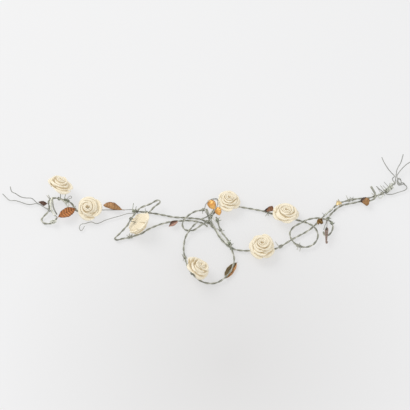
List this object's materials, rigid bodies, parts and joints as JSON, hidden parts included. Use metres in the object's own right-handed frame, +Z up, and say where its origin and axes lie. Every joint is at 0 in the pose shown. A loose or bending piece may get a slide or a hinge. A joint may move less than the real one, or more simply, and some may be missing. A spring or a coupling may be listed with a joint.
{
  "type": "flower crown",
  "caption": "Barbed-wire flower crown: twisted wire band with loops and barbs, rolled cream roses, pressed copper leaves and loose tie wires at both ends, laid out flat.",
  "frame": {"origin": "middle of the crown's bounding box, on the surface it rests on", "axes": "+X along the band towards the three tie wires, +Y across the band, +Z up out of the open roses"},
  "size_m": [0.5566, 0.1886, 0.0345],
  "materials": {
    "sage_wire": "matte sage green covered wire",
    "grey_wire": "dull grey tie wire",
    "cream_paper": "matte cream paper",
    "copper_leaf": "pressed copper, brown patina",
    "gold_leaf": "polished orange-gold copper"
  },
  "bodies": {
    "centre": {"centre_upper_rope": "sage_wire", "centre_lower_rope": "sage_wire", "small_loop_rope": "sage_wire", "big_loop_rope": "sage_wire", "loop_barb": "sage_wire", "gold_leaf": "gold_leaf", "loop_leaf": "copper_leaf"},
    "left_middle": {"leaf_wire": "grey_wire", "link_wire": "grey_wire", "main_upper_rope": "sage_wire", "upper_loop_rope": "sage_wire", "lower_loop_rope": "sage_wire", "band_barb": "sage_wire", "link_leaf": "copper_leaf", "small_leaf": "copper_leaf"},
    "left_end": {"left_ring_rope": "sage_wire", "curl_wire": "grey_wire", "tie_root_left": "grey_wire", "ring_leaf": "copper_leaf"},
    "left_ties": {"tie_wire_left_upper": "grey_wire", "tie_wire_left_lower": "grey_wire"},
    "right_middle": {"rose_six_rope": "sage_wire", "rose_seven_rope": "sage_wire", "right_strand_rope": "sage_wire", "bud_leaf": "copper_leaf", "crumpled_leaf": "copper_leaf"},
    "right_end": {"end_upper_rope": "sage_wire", "end_lower_rope": "sage_wire", "end_coil": "sage_wire", "end_barb": "sage_wire", "ring_wire": "grey_wire", "loop_wire": "grey_wire", "bright_leaf": "gold_leaf"},
    "right_ties": {"tie_wire_right_left": "grey_wire", "tie_wire_right_middle": "grey_wire", "tie_wire_right_right": "grey_wire"},
    "tie_leaf": {"tie_leaf": "copper_leaf"},
    "fan_leaf": {"fan_leaf": "copper_leaf"},
    "hanging_leaf": {"hanging_leaf": "copper_leaf"},
    "rose_one": {"rose_one_petals": "cream_paper", "rose_one_heart": "cream_paper", "rose_one_stem": "sage_wire"},
    "rose_two": {"rose_two_petals": "cream_paper", "rose_two_heart": "cream_paper", "rose_two_stem": "sage_wire"},
    "rose_three": {"rose_three_petals": "cream_paper", "rose_three_heart": "cream_paper", "rose_three_stem": "sage_wire"},
    "rose_four": {"rose_four_petals": "cream_paper", "rose_four_heart": "cream_paper", "rose_four_stem": "sage_wire"},
    "rose_five": {"rose_five_petals": "cream_paper", "rose_five_heart": "cream_paper", "rose_five_stem": "sage_wire"},
    "rose_six": {"rose_six_petals": "cream_paper", "rose_six_heart": "cream_paper", "rose_six_stem": "sage_wire"},
    "rose_seven": {"rose_seven_petals": "cream_paper", "rose_seven_heart": "cream_paper", "rose_seven_stem": "sage_wire"}
  },
  "joints": [
    {"name": "left_centre_bend", "type": "hinge", "parent": "centre", "child": "left_middle", "pos_m": [-0.03658, 0.00206, 0.00324], "axis": [0, 1, 0], "range_deg": [0, 45]},
    {"name": "left_band_bend", "type": "hinge", "parent": "left_middle", "child": "left_end", "pos_m": [-0.14368, 0.00706, 0.00324], "axis": [0, 1, 0], "range_deg": [0, 45]},
    {"name": "left_tie_bend", "type": "hinge", "parent": "left_end", "child": "left_ties", "pos_m": [-0.23198, 0.02656, 0.00324], "axis": [0, 1, 0], "range_deg": [0, 60]},
    {"name": "right_centre_bend", "type": "hinge", "parent": "centre", "child": "right_middle", "pos_m": [0.04982, -0.01294, 0.00324], "axis": [0, -1, 0], "range_deg": [0, 45]},
    {"name": "right_band_bend", "type": "hinge", "parent": "right_middle", "child": "right_end", "pos_m": [0.17432, 0.01986, 0.00324], "axis": [0.7431, -0.6691, 0], "range_deg": [0, 45]},
    {"name": "right_tie_bend", "type": "hinge", "parent": "right_end", "child": "right_ties", "pos_m": [0.25882, 0.06556, 0.0058], "axis": [1, 0, 0], "range_deg": [0, 60]},
    {"name": "rose_one_tilt", "type": "hinge", "parent": "left_end", "child": "rose_one", "pos_m": [-0.20111, 0.03114, 0.00708], "axis": [0.9624, -0.2715, 0], "range_deg": [-15, 15]},
    {"name": "rose_two_tilt", "type": "hinge", "parent": "left_end", "child": "rose_two", "pos_m": [-0.16184, 0.01586, 0.00324], "axis": [0.9852, 0.1711, 0], "range_deg": [-12, 8]},
    {"name": "rose_three_tilt", "type": "hinge", "parent": "left_middle", "child": "rose_three", "pos_m": [-0.10198, -0.00594, 0.02308], "axis": [-0.4829, -0.8755, 0.0149], "range_deg": [-5, 15]},
    {"name": "rose_four_tilt", "type": "hinge", "parent": "centre", "child": "rose_four", "pos_m": [0.02902, 0.02506, 0.00324], "axis": [0.9981, 0.0199, -0.0586], "range_deg": [-15, 4]},
    {"name": "rose_five_tilt", "type": "hinge", "parent": "centre", "child": "rose_five", "pos_m": [-0.01931, -0.08065, 0.00939], "axis": [-0.6232, 0.768, 0.1477], "range_deg": [-15, 8]},
    {"name": "rose_six_tilt", "type": "hinge", "parent": "right_middle", "child": "rose_six", "pos_m": [0.10592, 0.00537, 0.00324], "axis": [0.961, -0.2767, 0], "range_deg": [-12, 12]},
    {"name": "rose_seven_tilt", "type": "hinge", "parent": "right_middle", "child": "rose_seven", "pos_m": [0.07366, -0.04151, 0.00324], "axis": [0.9963, -0.0858, 0], "range_deg": [-12, 12]},
    {"name": "tie_leaf_lift", "type": "hinge", "parent": "left_end", "child": "tie_leaf", "pos_m": [-0.21598, 0.02166, 0.01024], "axis": [0.3251, 0.9457, 0], "range_deg": [0, 35]},
    {"name": "fan_leaf_lift", "type": "hinge", "parent": "right_end", "child": "fan_leaf", "pos_m": [0.20762, 0.03006, 0.00664], "axis": [-0.4415, -0.8973, 0], "range_deg": [0, 35]},
    {"name": "hanging_leaf_lift", "type": "hinge", "parent": "right_middle", "child": "hanging_leaf", "pos_m": [0.16242, -0.00394, 0.01124], "axis": [-0.9987, 0.0506, 0], "range_deg": [0, 35]}
  ]
}
